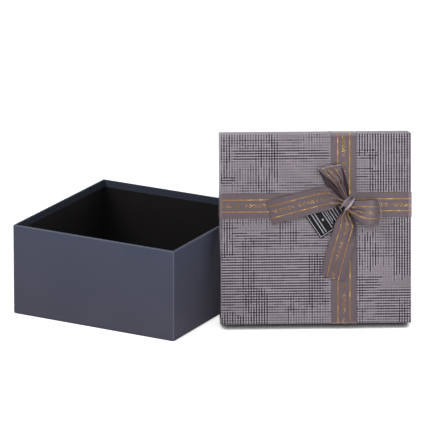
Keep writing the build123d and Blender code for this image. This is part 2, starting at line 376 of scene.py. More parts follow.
def cover_paper(tint):
    """The base's cover paper: slate and finely grained, lighter along its folds from wear and a painted
    highlight, with a painted shade on its inner side and a painted light tint, cooler at the rim and warmer
    low down.
    """
    finish = Finish("cover_paper", {"Specular IOR Level": 0.05})
    place = finish.place()
    from_right = base_high.x / MM - abs(finish.along(place, Vector((1, 0, 0))))
    from_back = base_high.y / MM - abs(finish.along(place, Vector((0, 1, 0))))
    from_rim = base_high.z / MM - finish.along(place, Vector((0, 0, 1)))
    fold = (from_right + from_back).least(from_right.least(from_back) + from_rim)
    grain = finish.noise(place, 1500, 3, 0.6)
    cloud = finish.noise(place, 18, 3)
    # Lighter along the folds: partly wear, partly a painted highlight on the rounded edges
    worn_and_highlit = soft_step(1.3 - fold, 0.5, 0.9) * (0.35 + 1.1 * finish.noise(place, 130, 3)).held()
    # Painted shade: the inner side of the walls is drawn darker
    painted_inner_shade = soft_step(from_right.least(from_back), 1.9, 0.6)
    shade = (1 + 0.34 * (grain - 0.5) + 0.16 * (cloud - 0.5)) * (1 - 0.32 * painted_inner_shade)
    # Painted light tint: cooler towards the rim and warmer towards the floor, as sky light and floor bounce
    # would tint it
    lower = (from_rim / (base_high.z / MM) + 0.5 * (cloud - 0.5)).held()
    sky_lit_tint = tuple(part * gain for part, gain in zip(tint, (0.94, 1.04, 1.06)))
    floor_lit_tint = tuple(part * gain for part, gain in zip(tint, (1.05, 0.98, 0.96)))
    sheet = finish.shaded(finish.mixed(lower, sky_lit_tint, floor_lit_tint), shade)
    finish.feed(Base_Color=finish.mixed(worn_and_highlit * 0.75, sheet, WORN_AND_HIGHLIT_COVER))
    finish.feed(Roughness=0.5 + 0.12 * (grain - 0.5) + 0.06 * worn_and_highlit)
    finish.bump(grain, 0.00006, 0.6)
    return finish.material


# The larger groups of printed lines on the lid's face: left, right, bottom and top in millimetres, and
# how dark they are. Each line of a group ends a little before or after the next one.
UPRIGHT_GROUPS = (
    (-98, -85, 48, 98, 0.8), (-85, -60, 78, 98, 0.6), (-60, -36, 34, 98, 0.75),
    (-84, -60, 34, 62, 0.5), (-12, 4, 88, 98, 0.55), (-12, 0, 62, 88, 0.22),
    (42, 60, 76, 98, 0.95), (53, 60, 36, 76, 0.75), (60, 98, 34, 98, 1.0),
    (-98, -83, -30, 12, 0.85), (-83, -45, 3, 14, 0.65), (-37, -18, -20, 10, 0.65),
    (-52, -18, -30, -6, 0.3), (-74, -60, -62, -12, 0.7), (-88, -74, -56, -30, 0.25),
    (-74, -48, -98, -62, 0.75), (-70, -48, -98, -76, 0.95), (-98, -74, -98, -87, 0.8),
    (-30, -20, -98, -63, 0.65), (-20, 10, -98, -65, 0.5), (-7, 5, -98, -24, 0.65),
    (5, 14, -80, -52, 0.4), (40, 47, -98, -5, 0.6), (42, 60, -40, -4, 0.8),
    (58, 78, -34, -12, 0.55), (68, 78, -12, 13, 0.6), (77, 98, -50, 13, 1.0),
    (61, 72, -98, -62, 0.3), (82, 98, -98, -74, 0.8),
)
LEVEL_GROUPS = (
    (-77, -12, 80, 89, 0.6), (-80, 14, 69, 80, 0.95), (-98, -78, 72, 92, 0.45),
    (-80, 14, 59, 68, 0.35), (-98, -80, 42, 53, 0.7), (-78, 14, 38, 49, 0.6),
    (-30, 14, 50, 58, 0.28), (40, 62, 68, 79, 0.75), (40, 60, 46, 61, 0.75),
    (60, 98, 44, 58, 0.4), (-98, -80, 1, 11, 0.6), (-84, 14, -18, -2, 0.85),
    (-76, 14, -25, -18, 0.4), (-98, -76, -25, -14, 0.35), (-98, 12, -50, -25, 1.0),
    (-98, 12, -75, -50, 0.95), (-98, 14, -86, -75, 0.65), (-98, 10, -98, -86, 0.45),
    (60, 86, -14, 11, 0.5), (40, 98, -29, -18, 0.6), (40, 66, -74, -47, 0.9),
    (60, 98, -91, -62, 0.95), (40, 62, -98, -74, 0.6),
)
# How far apart neighbouring lines can end, and how long the ink of a line stays the same, in millimetres
RAGGED_ENDS, INK_RUN = 8.0, 13.0
# Where the paper is almost bare: middle and half size
BARE_PLACES = ((-24, 57, 14, 5), (-24, 91, 14, 5), (67, -36, 13, 7), (78, -53, 18, 6), (-39, -91, 11, 6))


def lid_paper(print_settings):
    """The lid's cover paper: groups of dark lines both ways on a taupe ground, wrapped over the folds, and
    lighter along the folds from wear and a painted highlight.
    """
    finish = Finish("printed_paper", {"Specular IOR Level": 0.2})
    place = finish.place()
    x = finish.along(place, face.across, face.middle)
    y = finish.along(place, face.up, face.middle)
    behind = (0 - finish.along(place, face.out, face.middle)).most(0.0)
    on_side = abs(x) > abs(y)
    sheet_x = x + x.sign() * behind * on_side
    sheet_y = y + y.sign() * behind * (1 - on_side)
    on_wall = soft_step(behind, 2.0, 2.0)
    bare_paper = None
    for middle_x, middle_y, half_x, half_y in BARE_PLACES:
        patch = 1.2 - (abs(x - middle_x) / half_x).most(abs(y - middle_y) / half_y)
        bare_paper = patch if bare_paper is None else bare_paper.most(patch)
    bare_paper = (bare_paper * 2.5).held()
    pitch = print_settings.pitch / MM

    def scattered(line, beside, lines, span, seed):
        """A group of neighbouring lines here and there, dark over a stretch of their length."""
        bundle = (line / lines + seed).floor()
        stretch = ((beside + finish.chance(bundle, seed, seed) * span) / span).floor()
        return soft_step(finish.chance(bundle, stretch, seed + 0.5), 0.5, 0.3)

    def brushed(line_place, beside, groups, coarse, fine, base, scatter, seed):
        """The ink of the printed lines one way, and how dark the group around each point is.

        Between the groups, coarse and fine bundles of faint lines are scattered: each has a count of lines
        and the length of a stretch. base is how dark the lines are where there is no bundle.
        """
        line = (line_place / pitch).floor()
        middle = (line + 0.5) * pitch
        ragged = beside + RAGGED_ENDS * (finish.chance(line, seed, seed) - 0.5)
        dark = None
        for low, high, start, stop, depth in groups:
            across_group = abs(middle - (low + high) / 2) < (high - low) / 2
            inside = across_group * (abs(ragged - (start + stop) / 2) < (stop - start) / 2) * depth
            dark = inside if dark is None else dark.most(inside)
        faint = scattered(line, beside, *coarse, seed)
        faint = faint.most(0.8 * scattered(line, beside, *fine, seed + 7))
        between = base + faint * (scatter + 0.4 * on_wall)
        dark = dark.most(between * (1 - 0.75 * bare_paper))
        dry = finish.flow(beside * 0.07, line * 3.7, 3, 0.65, seed)
        flecks = finish.flow(beside * 0.55, line * 5.3, 2, 0.6, seed)
        stretch = (beside / INK_RUN + line * 0.37).floor()
        uneven = 0.70 + 0.45 * finish.chance(line, stretch, seed + 5)
        amount = (dark * uneven * (0.85 + 0.9 * (dry - 0.1) * (0.5 + flecks))).held()
        half = print_settings.line / MM * (0.40 + 0.20 * flecks)
        return stripe(line_place, middle, half, 0.25) * amount, dark

    upright_ink, upright = brushed(
        sheet_x, sheet_y, UPRIGHT_GROUPS,
        coarse=(7.0, 29.0), fine=(3.0, 16.0), base=0.04, scatter=0.20, seed=3.0,
    )
    level_groups = [(low, high, left, right, depth) for left, right, low, high, depth in LEVEL_GROUPS]
    level_ink, level = brushed(
        sheet_y, sheet_x, level_groups,
        coarse=(5.0, 50.0), fine=(2.0, 29.0), base=0.12, scatter=0.34, seed=41.0,
    )
    mottle = finish.noise(place, 700, 3, 0.6)
    bare = (1 - 0.93 * upright_ink) * (1 - 0.93 * level_ink)
    ink = (1 - bare) * (0.86 + 0.28 * mottle).held()
    grain = finish.noise(place, 1500, 3, 0.6)
    cloud = finish.noise(place, 14, 2)
    brush = finish.flow(sheet_x * 0.12, sheet_y * 0.5, 3, 0.6)
    lifted = 1 + 1.05 * upright + 0.85 * level + 0.14 * (grain - 0.5)
    lifted = lifted + 0.5 * (cloud - 0.5) + 0.5 * (brush - 0.5)
    ground = finish.shaded(print_settings.ground, lifted)
    printed = finish.mixed(ink, ground, print_settings.ink)

    from_side, from_end = lid_half - abs(x), lid_half - abs(y)
    fold = (from_side.least(from_end) + behind).least(from_side + from_end)
    # Lighter along the folds: partly wear, partly a painted highlight; the bottom edge, which lies in
    # shade, is left without it
    worn_and_highlit = soft_step(1.1 - fold, 0.4, 0.8) * (0.2 + 0.9 * finish.noise(place, 150, 3)).held()
    worn_and_highlit = worn_and_highlit * soft_step(y, 2.0 - lid_half, 2.0)
    finish.feed(Base_Color=finish.mixed(worn_and_highlit * 0.6, printed, WORN_AND_HIGHLIT_PRINT))
    finish.feed(Roughness=0.46 - 0.08 * ink + 0.10 * (grain - 0.5))
    finish.bump(grain, 0.00004, 0.4)
    return finish.material


def vine_scroll(along, across):
    """1 on a printed vine: a waving stem with a leaf on each side of every wave."""
    wave, swing, half_line = 9.2, 1.25, 0.3
    leaf_away, leaf_cos, leaf_sin, leaf_long, leaf_wide = 0.9, 0.80, 0.60, 2.1, 0.42
    stem = (along * (2 * pi / wave)).sine() * swing
    line = stripe(across, stem, half_line, FOIL_EDGE)
    leaf_x = (along + wave / 8).wrapped(wave / 4)
    side = ((along + wave / 8) * (2 * pi / wave)).sine().sign()
    leaf_y = across * side + leaf_away
    turned_x = leaf_x * leaf_cos + leaf_y * leaf_sin
    turned_y = leaf_y * leaf_cos - leaf_x * leaf_sin
    leaf = (turned_x * turned_x / leaf_long + turned_y * turned_y / leaf_wide) < 1.0
    return line.most(leaf)


def satin(name, ribbon, printed):
    """Satin ribbon. Its printed side has metallic lines, hearts and a scroll, with painted glints on the
    gold and a painted highlight on creases, rims and pleats; its back is duller and drawn darker, partly as
    a painted shade.
    """
    constants = {"Sheen Weight": 0.4, "Sheen Roughness": 0.3, "Specular IOR Level": 0.55}
    finish = Finish(name, constants if printed else {"Specular IOR Level": 0.2})
    spot = finish.node("ShaderNodeUVMap", {"uv_map": RIBBON_MAP})
    parts = finish.node("ShaderNodeSeparateXYZ", inputs={0: spot}).socket.node.outputs
    along, across = Link(finish, parts[0]), Link(finish, parts[1])
    thread_pitch, selvedge_width, back_shade = 0.32, 0.55, 0.68
    threads = (across * (2 * pi / thread_pitch)).sine() * 0.5 + 0.5
    streaks = finish.flow(along * 0.03, across * 2.4, 4, 0.65)
    crossing = finish.flow(along * 3.0, across * 0.8, 2)
    selvedge = soft_step(abs(across), ribbon.width / MM / 2 - selvedge_width, 0.3)
    shade = 0.94 + 0.30 * (streaks - 0.5) + 0.10 * (crossing - 0.5) + 0.05 * threads - 0.16 * selvedge
    # The back is drawn darker: partly a duller cloth, partly a painted shade for the loops' shaded insides
    cloth = finish.shaded(ribbon.satin, shade if printed else shade * back_shade)
    relief = threads * 0.35 + streaks * 0.4 + selvedge * 0.6
    if not printed:
        finish.feed(Base_Color=cloth, Roughness=0.62 + 0.1 * (streaks - 0.5))
        finish.bump(relief, 0.00005, 0.5)
        return finish.material

    edge_lines = stripe(abs(across), ribbon.line_place / MM, ribbon.line_width / MM / 2, FOIL_EDGE)
    half_repeat = ribbon.repeat / MM / 2
    from_heart = along.wrapped(half_repeat)
    heart_half = 1.35
    heart_x, heart_y = from_heart / heart_half, (across + 0.25) / heart_half
    round_part = heart_x * heart_x + heart_y * heart_y - 1
    heart = (round_part * round_part * round_part - heart_x * heart_x * heart_y * heart_y * heart_y) < 0.0
    vine = vine_scroll(from_heart, across)
    vine_start, vine_end = 7.0, half_repeat - 2.0
    vine = vine * (abs(from_heart) > vine_start) * (abs(from_heart) < vine_end)
    worn = finish.flow(along * 0.5, across * 0.7, 4, 0.65)
    # Painted glints: the gold is mixed towards a brighter gold in patches, as if it caught the light
    painted_glint = soft_step(finish.flow(along * 0.11, across * 0.2, 2), 0.60, 0.2)
    gold = edge_lines.most(heart).most(vine * 0.85) * (0.50 + 1.0 * worn).held()
    foil = finish.mixed(painted_glint * 0.8 * (1 - heart), ribbon.gold, GOLD_GLINT)
    foil = finish.shaded(foil, 1 - 0.4 * heart)
    # Painted highlight: the cloth is mixed towards a pale satin colour where the piece's attribute asks for
    # it
    highlight_layer = finish.node("ShaderNodeAttribute", {"attribute_name": HIGHLIGHT_ATTRIBUTE}, output="Fac")
    cloth = finish.mixed(highlight_layer * 0.8, cloth, SATIN_HIGHLIGHT)
    finish.feed(
        Base_Color=finish.mixed(gold, cloth, foil),
        Metallic=gold,
        Roughness=0.31 + 0.14 * (streaks - 0.5) - 0.05 * gold,
    )
    finish.bump(relief + gold * 0.9, 0.00006, 0.5)
    return finish.material


def ribbon_materials():
    """The printed side and the back of the ribbon, made once."""
    ribbon = bpy.context.scene.ribbon
    sides = {"ribbon_satin": True, "ribbon_back": False}
    return [bpy.data.materials.get(name) or satin(name, ribbon, side) for name, side in sides.items()]


def tag_card(tag):
    """Black card printed with a frame, rules and rows of small blocks."""
    finish = Finish("tag_card", {"Specular IOR Level": 0.12})
    place = finish.place()
    pointing = face.across * cos(tag.heading) + face.up * sin(tag.heading)
    beside_way = face.out.cross(pointing)
    knot = Vector(face.place([face.knot])[0])
    away = finish.along(place, pointing, knot)
    beside = finish.along(place, beside_way, knot)

    def bar(middle, half, reach):
        """A rule across the tag."""
        return stripe(away, middle, half, 0.1) * (abs(beside) < reach)

    def blocks(middle, half, reach, step, seed):
        """A row of small blocks across the tag."""
        index = (beside / step).floor()
        filled = abs(beside / step - index - 0.5) < (0.25 + 0.2 * finish.chance(index, seed, seed))
        return bar(middle, half, reach) * filled

    frame_end, frame_side = 40.0, 13.5
    side = stripe(abs(beside), frame_side, 0.3, 0.1) * (away < frame_end + 0.2)
    marks = bar(frame_end, 0.36, frame_side + 0.2).most(side)
    rules = ((35.5, 0.5, 12.0), (32.6, 0.5, 12.0), (25.4, 0.4, 11.6), (18.4, 0.4, 11.6), (8.4, 0.35, 8.0))
    square = (28.9, 0.8, 1.1)
    for middle, half, reach in (*rules, square):
        marks = marks.most(bar(middle, half, reach))
    rows = ((22.9, 0.55, 8.8, 1.9), (21.0, 0.4, 6.5, 1.3), (15.4, 0.55, 9.0, 2.2), (12.4, 0.45, 7.0, 1.6))
    for seed, (middle, half, reach, step) in enumerate(rows):
        marks = marks.most(blocks(middle, half, reach, step, 41.0 + seed))
    front = finish.along(place, face.out, knot) > 0.1
    grain = finish.noise(place, 1800, 3, 0.6)
    white = marks * front * (0.8 + 0.3 * finish.noise(place, 900, 2)).held()
    card = finish.shaded(tag.card, 1 + 0.5 * (grain - 0.5))
    finish.feed(Base_Color=finish.mixed(white, card, tag.lines), Roughness=0.42 + 0.14 * (grain - 0.5))
    finish.bump(grain * 0.6 + white * 0.4, 0.00004, 0.4)
    return finish.material


def paint(finish_material, *nodes):
    """Gives model nodes a finish."""
    for node in nodes:
        shown = frame["nodes"][node]
        if not shown.material_slots:
            shown.data.materials.append(finish_material)
        for material_slot in shown.material_slots:
            material_slot.material = finish_material


def travelled(points):
    """How far along a path each of its points is."""
    return np.concatenate([[0], np.cumsum(np.linalg.norm(np.diff(points, axis=0), axis=1))])


def evened(values, times):
    """Values whose inner ones are drawn towards their neighbours, some times over."""
    for _ in range(times):
        values[1:-1] = (values[:-2] + 2 * values[1:-1] + values[2:]) / 4
    return values


def smooth(stations, count):
    """Evenly spaced rows along smooth curves through the stations' rows."""
    rows = np.array(stations, float)
    way = travelled((rows[:, 0:3] + rows[:, 3:6]) / 2)
    slopes = np.gradient(rows, way, axis=0)
    places = np.linspace(0, way[-1], count)
    index = np.clip(np.searchsorted(way, places, "right") - 1, 0, len(way) - 2)
    span = (way[index + 1] - way[index])[:, None]
    t = (places - way[index])[:, None] / span
    start = (2 * t**3 - 3 * t**2 + 1) * rows[index] + (t**3 - 2 * t**2 + t) * span * slopes[index]
    end = (3 * t**2 - 2 * t**3) * rows[index + 1] + (t**3 - t**2) * span * slopes[index + 1]
    return start + end


# A strip of cloth that is shorter from end to end than it is long makes an arch. Its steepest angle
# comes from the share of its length that is left from end to end.
ARCH_ANGLES = np.linspace(0, 2.3, 231)
ARCH_STEPS = (np.arange(400) + 0.5) / 400
ARCH_SHARES = np.cos(ARCH_ANGLES[:, None] * np.cos(pi * ARCH_STEPS)).mean(1)


def arch(chord, cloth, steps):
    """Shares of the chord, and heights, of points along one arch of cloth."""
    share = min(chord / cloth, 1.0)
    steepest = np.interp(-share, -ARCH_SHARES, ARCH_ANGLES)
    angles = steepest * np.cos(pi * ARCH_STEPS)
    ends = np.linspace(0, len(angles), steps + 1).astype(int)
    forward = np.concatenate([[0], np.cumsum(np.cos(angles))])[ends]
    rise = np.concatenate([[0], np.cumsum(np.sin(angles))])[ends] / len(angles) * cloth
    return forward / forward[-1], rise


# Where the ribbon's two gold lines and its middle lie, as shares of the way across it
FLAT_LANES = (0.26, 0.5, 0.74)
# The ribbon folds between them, so that each of them lies on top of a fold or at the bottom of one
FOLD_BREAKS = (-0.5, -0.36, -0.12, 0.12, 0.36, 0.5)
FOLD_SIDES = (-1, 1, -1, 1, -1)
FOLD_STEPS = 12
# The outer folds end at this share of the way from an edge to its gold line
OUTER_BREAK = 0.54
# Small pleats where the ribbon is drawn together: from one to the next, the first one's turn and their
# height in millimetres, and how fast they grow with the width that is lost
PLEAT_PITCH, PLEAT_TURN, PLEAT_HEIGHT, PLEAT_GROWTH = 3.1, 0.9, 0.42, 2.4


def outmost(middles):
    """The row of a ribbon's middles that lies farthest from the first one, as the face is seen."""
    return np.argmax(np.linalg.norm(middles[:, :2] - middles[0, :2], axis=1))


def drawn_together(chord, width):
    """0 where a ribbon lies wide, and up to 1 where its edges are close together."""
    return np.clip(PLEAT_GROWTH * (1 - chord / width), 0, 1)


def pleat_wave(crossings):
    """The pleats' height between -1 and 1, at millimetres across the ribbon."""
    return np.sin(2 * pi * crossings / PLEAT_PITCH + PLEAT_TURN)


def gather(rows, width, ease, top=1):
    """Points of a ribbon through rows of left edge, right edge, the three lanes' shares and a bulge.

    Cloth that has no room between the edges stands up in folds, and ease is the cloth's share that does.
    The bulge carries the middle away from the knot. The gold lines run on top of the folds, or at the
    bottom where top is -1. The second result is how far across the ribbon each point is, in millimetres.
    """
    middles = (rows[:, 0:3] + rows[:, 3:6]) / 2
    ahead = np.gradient(middles, axis=0)
    heading = (middles[outmost(middles)] - middles[0]) * [1, 1, 0]
    heading /= np.linalg.norm(heading)
    pieces = len(FOLD_SIDES)
    breaks = np.array(FOLD_BREAKS) * width
    points, crossings = [], []
    for row, forward in zip(rows, ahead):
        left, right, (low, middle, high), bulge = row[0:3], row[3:6], row[6:9], row[9]
        chord = np.linalg.norm(right - left)
        across = (right - left) / chord
        outward = np.cross(across, forward)
        outward /= np.linalg.norm(outward)
        near, far = OUTER_BREAK * low, 1 - OUTER_BREAK * (1 - high)
        shares = np.array([0, near, (low + middle) / 2, (middle + high) / 2, far, 1])
        line, cloth_places = [(0.0, 0.0)], [breaks[0]]
        for piece in range(pieces):
            side = top * FOLD_SIDES[piece]
            cloth = (breaks[piece + 1] - breaks[piece]) * ease
            part, rise = arch((shares[piece + 1] - shares[piece]) * chord, cloth, FOLD_STEPS)
            way = (shares[piece] + part * (shares[piece + 1] - shares[piece])) * chord
            line.extend(zip(way[1:], side * rise[1:]))
            cloth_places.extend(np.linspace(breaks[piece], breaks[piece + 1], FOLD_STEPS + 1)[1:])
        line = evened(np.array(line), 3)
        cloth_places = np.array(cloth_places)
        line[:, 1] += PLEAT_HEIGHT * drawn_together(chord, width) * pleat_wave(cloth_places)
        bowed = bulge * (1 - (cloth_places / (width / 2)) ** 2)
        points.append(left + line[:, :1] * across + line[:, 1:] * outward + bowed[:, None] * heading)
        crossings.append(cloth_places)
    return np.array(points), np.array(crossings)


def lengthwise(points):
    """How far along the ribbon's middle each row of points is, in millimetres."""
    return travelled(points[:, points.shape[1] // 2])


def bending(points):
    """1 where the ribbon turns sharply and 0 where it runs flat, for each row of points."""
    steps = np.diff(points.mean(1), axis=0)
    lengths = np.linalg.norm(steps, axis=1)
    ways = steps / lengths[:, None]
    turns = np.arccos(np.clip((ways[1:] * ways[:-1]).sum(1), -1, 1)) / lengths[1:]
    curve = evened(np.pad(turns, 1, "edge"), 2)
    flat, sharp = 0.19, 0.31
    return np.clip((curve - flat) / (sharp - flat), 0, 1)


def loop_rim(points):
    """1 on the near side of a loop's outermost turn and 0 elsewhere, for each row of points: where a loop's
    painted rim highlight lies.
    """
    along = lengthwise(points)
    before_turn, softness = 1.6, 1.2
    rim = along[outmost(points.mean(1))] - before_turn
    return np.clip(1.9 - abs(along - rim) / softness, 0, 1)


def pleat_ridges(points, crossings, width):
    """1 on top of a pleat where the ribbon is drawn together, and 0 beside it or where it lies wide: where
    the pleats' painted highlights lie.
    """
    chord = np.linalg.norm(points[:, -1] - points[:, 0], axis=1)
    return drawn_together(chord, width)[:, None] * np.clip(pleat_wave(crossings), 0, 1) ** 2


def show(name, data):
    """A new object in the scene."""
    shown = bpy.data.objects.new(name, data)
    bpy.context.scene.collection.objects.link(shown)
    return shown


def ribbon_mesh(name, points, faces, spots, materials):
    """A piece of ribbon that rides on the lid. spots has each point's place on the ribbon's own map."""
    mesh = bpy.data.meshes.new(name)
    mesh.from_pydata(face.place(points).tolist(), [], faces)
    layer = mesh.uv_layers.new(name=RIBBON_MAP)
    for loop in mesh.loops:
        layer.data[loop.index].uv = spots[loop.vertex_index]
    for polygon in mesh.polygons:
        polygon.use_smooth = len(polygon.vertices) == 4
    for material in materials:
        mesh.materials.append(material)
    piece = show(name, mesh)
    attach(piece, "lid")
    return piece


def quads(rows, columns):
    """The faces between the points of a grid."""
    corners = [row * columns + column for row in range(rows - 1) for column in range(columns - 1)]
    return [(corner, corner + 1, corner + columns + 1, corner + columns) for corner in corners]


def ribbon_piece(name, points, crossings, start, lighter):
    """A ribbon from a grid of points, and its length in millimetres.

    start is where its first row lies along the ribbon's map, from a heart, and crossings has where each
    point lies across it. The last argument is how strongly a painted satin highlight lightens the cloth, on
    creases, pleat ridges, loop rims and the knot, for each row or each point.
    """
    rows, columns = points.shape[:2]
    along = lengthwise(points) + start
    spots = np.stack([np.repeat(along, columns), np.ravel(crossings)], axis=1)
    piece = ribbon_mesh(name, points.reshape(-1, 3), quads(rows, columns), spots, ribbon_materials())
    # The painted satin highlight, stored on the mesh for the satin finish
    highlight_layer = piece.data.attributes.new(HIGHLIGHT_ATTRIBUTE, "FLOAT", "POINT")
    highlight_layer.data.foreach_set("value", (lighter * np.ones((rows, columns))).ravel())
    shell = piece.modifiers.new("thickness", "SOLIDIFY")
    shell.thickness = bpy.context.scene.ribbon.thickness
    shell.offset = 0.0
    shell.material_offset = 1
    shell.material_offset_rim = 1
    return piece, along[-1] - start


def camera_back():
    """The way from the box towards the camera."""
    studio = bpy.context.scene.studio
    azimuth, elevation = studio.azimuth, studio.elevation
    return Vector((sin(azimuth) * cos(elevation), -cos(azimuth) * cos(elevation), sin(elevation)))


def seen(x, y, h):
    """The place at height h that the photograph shows at x and y on the face."""
    back = camera_back()
    lean = h / back.dot(face.out)
    return x + lean * back.dot(face.across), y + lean * back.dot(face.up), h


def station(left, right, lanes=FLAT_LANES, bulge=0.0):
    """A row of a bow ribbon's table as numbers, with its edges where the photograph shows them."""
    return [*seen(*left), *seen(*right), *lanes, bulge]


def band_profile(half, inner_half, face_height, rim, turned_end, fold, step):
    """A band's path along the face as x and h: up inside a wall, over the face and down inside the other.

    step is a place where it climbs over the other band: its middle, half its width and its height.
    """
    def corner(x, h, start):
        """A quarter turn of the band about x and h, from an angle down."""
        turn = [radians(start - 22.5 * share) for share in range(5)]
        return [(x + fold * cos(angle), h + fold * sin(angle)) for angle in turn]

    def loosened(x, h):
        """A point pushed out a little where the band turns over the far fold."""
        reach, most = 7, 0.55
        near = max(1 - (abs(x - half) + abs(h - face_height)) / reach, 0.0)
        slack = most * near * near * (3 - 2 * near)
        return x + 0.7 * slack, h + 0.7 * slack

    left = [(-inner_half, turned_end), (-inner_half, (turned_end + rim) / 2)]
    left += corner(-inner_half - fold, rim + fold, 360)
    left += corner(-half + fold, rim + fold, 270)
    left += [(-half, rim * share) for share in (0.75, 0.5, 0.25)]
    left += corner(-half + fold, face_height - fold, 180)
    right = [(-x, h) for x, h in reversed(left)]
    reach = half - fold
    flat = np.linspace(-reach, reach, 122)[1:-1]
    middle, half_step, rise = step
    foot, slope = 0.9, 0.6
    lift = rise * np.clip((half_step + foot - abs(flat - middle)) / slope, 0, 1)
    return np.array([loosened(x, h) for x, h in [*left, *zip(flat, face_height + lift), *right]])


class GIFTBOX_OT_dress_base(bpy.types.Operator):
    """Give the base box its cover paper, lining, board, stays and bottom sheet"""

    bl_idname = "giftbox.dress_base"
    bl_label = "Dress the base"

    def execute(self, context):
        papers = context.scene.papers
        paint(cover_paper(papers.cover), "base_wrap")
        paint(plain_paper("lining_paper", papers.lining, 0.5, 0.3, 0.6), "base_lining", "lid_lining")
        paint(plain_paper("bottom_paper", papers.bottom, 0.4, 0.3, 0.7), "base_bottom_sheet")
        paint(plain_paper("grey_board", papers.board, 0.3, 0.45, 0.85), "base_board", "lid_board")
        stays = [node for node in frame["nodes"] if "_corner_stay_" in node]
        paint(plain_paper("stay_paper", papers.stay, 0.2, 0.4, 0.8), *stays)
        return {"FINISHED"}


class GIFTBOX_OT_dress_lid(bpy.types.Operator):
    """Wrap the lid in its printed cover paper"""

    bl_idname = "giftbox.dress_lid"
    bl_label = "Dress the lid"

    def execute(self, context):
        paint(lid_paper(context.scene.lid_print), "lid_wrap")
        return {"FINISHED"}


class GIFTBOX_OT_dress_tag(bpy.types.Operator):
    """Print the card tag"""

    bl_idname = "giftbox.dress_tag"
    bl_label = "Dress the tag"

    def execute(self, context):
        paint(tag_card(context.scene.tag), "hang_tag")
        return {"FINISHED"}


class GIFTBOX_OT_ribbon_bands(bpy.types.Operator):
    """Lay the two ribbon bands over the lid"""

    bl_idname = "giftbox.ribbon_bands"
    bl_label = "Lay the ribbon bands"

    turned_in = 8.0
    fold = 0.45
    ease = 0.98
    long_sway, short_sway = 0.12, 0.07
    # Strength of the painted highlight where the bands turn over the lid's folds
    fold_highlight = 0.3
    heart_places = {"ribbon_across": -77.0, "ribbon_down": 65.7}

    def execute(self, context):
        ribbon = context.scene.ribbon
        width, thick = ribbon.width / MM, ribbon.thickness / MM
        half = lid_half + thick / 2
        inner_half = face.span("lid_lining")[1][0] - thick / 2 + 0.1
        rim = -lid_depth - thick / 2
        crossing = (across_low[1] + across_high[1]) / 2
        middles = {"ribbon_across": crossing, "ribbon_down": (down_low[0] + down_high[0]) / 2}
        for name, middle in middles.items():
            step = (crossing, width / 2, thick + 0.03) if name == "ribbon_down" else (0.0, 0.0, 0.0)
            turned_end = self.turned_in - lid_depth
            path = band_profile(half, inner_half, thick / 2, rim, turned_end, self.fold, step)
            rows = []
            for place, height in path:
                sway = self.long_sway * sin(place / 23.0 + middle) + self.short_sway * sin(place / 9.0)
                low, high = middle - width / 2 + sway, middle + width / 2 + sway
                if name == "ribbon_across":
                    ends = (place, high, height, place, low, height)
                else:
                    ends = (low, place, height, high, place, height)
                rows.append([*ends, *FLAT_LANES, 0.0])
            points, crossings = gather(np.array(rows), width, self.ease)
            heart_at = travelled(path)[abs(path[:, 0] - self.heart_places[name]).argmin()]
            # A painted highlight where the band turns sharply
            lighter = self.fold_highlight * bending(points)[:, None]
            piece, cloth = ribbon_piece(f"{name}_band", points, crossings, -heart_at, lighter)
            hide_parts(name)
        return {"FINISHED"}


# The bow's ribbons. A station has the left edge and the right edge as the photograph shows them, looking
# out from the knot, each x, y and h in millimetres. Where they aren't as in the flat ribbon, the shares of
# the way across follow at which a gold line, the middle and a gold line lie, and then how far the middle
# bulges ahead.
RIGHT_LOOP = (
    ((33.0, 26.5, 6.2), (31.0, 22.0, 6.0), (0.4, 0.5, 0.6)),
    ((37.0, 26.9, 8.2), (32.2, 17.8, 7.2), (0.58, 0.69, 0.80)),
    ((43.5, 27.5, 9.2), (38.2, 10.0, 10.0), (0.38, 0.55, 0.74)),
    ((50.5, 28.0, 10.8), (46.0, 4.8, 11.8), (0.28, 0.51, 0.76), 0.3),
    ((57.0, 28.2, 10.8), (55.0, 3.1, 12.0), FLAT_LANES, 1.0),
    ((61.0, 28.2, 8.4), (61.6, 3.2, 9.0), FLAT_LANES, 1.9),
    ((62.3, 28.0, 6.3), (63.3, 3.6, 6.2), FLAT_LANES, 2.4),
    ((62.3, 28.0, 4.2), (63.4, 3.6, 4.2), FLAT_LANES, 2.4),
    ((60.8, 27.8, 2.6), (61.6, 3.8, 2.6), FLAT_LANES, 1.8),
    ((55.0, 27.5, 2.4), (54.5, 4.0, 2.4), FLAT_LANES, 0.5),
    ((47.5, 27.0, 3.7), (45.0, 7.0, 3.7)),
    ((40.0, 26.0, 4.9), (37.5, 14.0, 4.9)),
    ((33.0, 25.5, 5.3), (31.5, 21.5, 5.3)),
)
UPPER_LOOP = (
    ((28.0, 29.0, 6.4), (32.0, 30.0, 6.4), (0.3, 0.5, 0.7)),
    ((24.8, 35.8, 9.0), (29.4, 38.2, 8.6), (0.28, 0.5, 0.72)),
    ((21.0, 41.4, 12.0), (27.2, 44.4, 10.6), (0.25, 0.5, 0.72)),
    ((14.8, 48.2, 13.2), (26.8, 51.2, 10.8), (0.22, 0.54, 0.80)),
    ((9.0, 52.8, 12.6), (26.2, 56.0, 9.8), (0.18, 0.50, 0.78)),
    ((4.6, 56.8, 10.4), (25.6, 60.4, 8.4), (0.18, 0.44, 0.72)),
    ((2.2, 59.4, 7.4), (25.1, 63.6, 6.6), (0.20, 0.42, 0.70), 0.2),
    ((1.6, 60.4, 4.9), (25.0, 64.6, 4.7), FLAT_LANES, 0.3),
    ((2.3, 59.0, 2.8), (25.4, 63.2, 2.8), FLAT_LANES, 0.2),
    ((6.6, 50.8, 2.4), (28.8, 55.0, 2.4)),
    ((10.4, 43.4, 3.1), (31.0, 47.2, 3.1)),
    ((18.0, 36.6, 4.6), (32.8, 39.0, 4.6)),
    ((28.0, 29.0, 5.3), (32.5, 30.0, 5.3)),
)
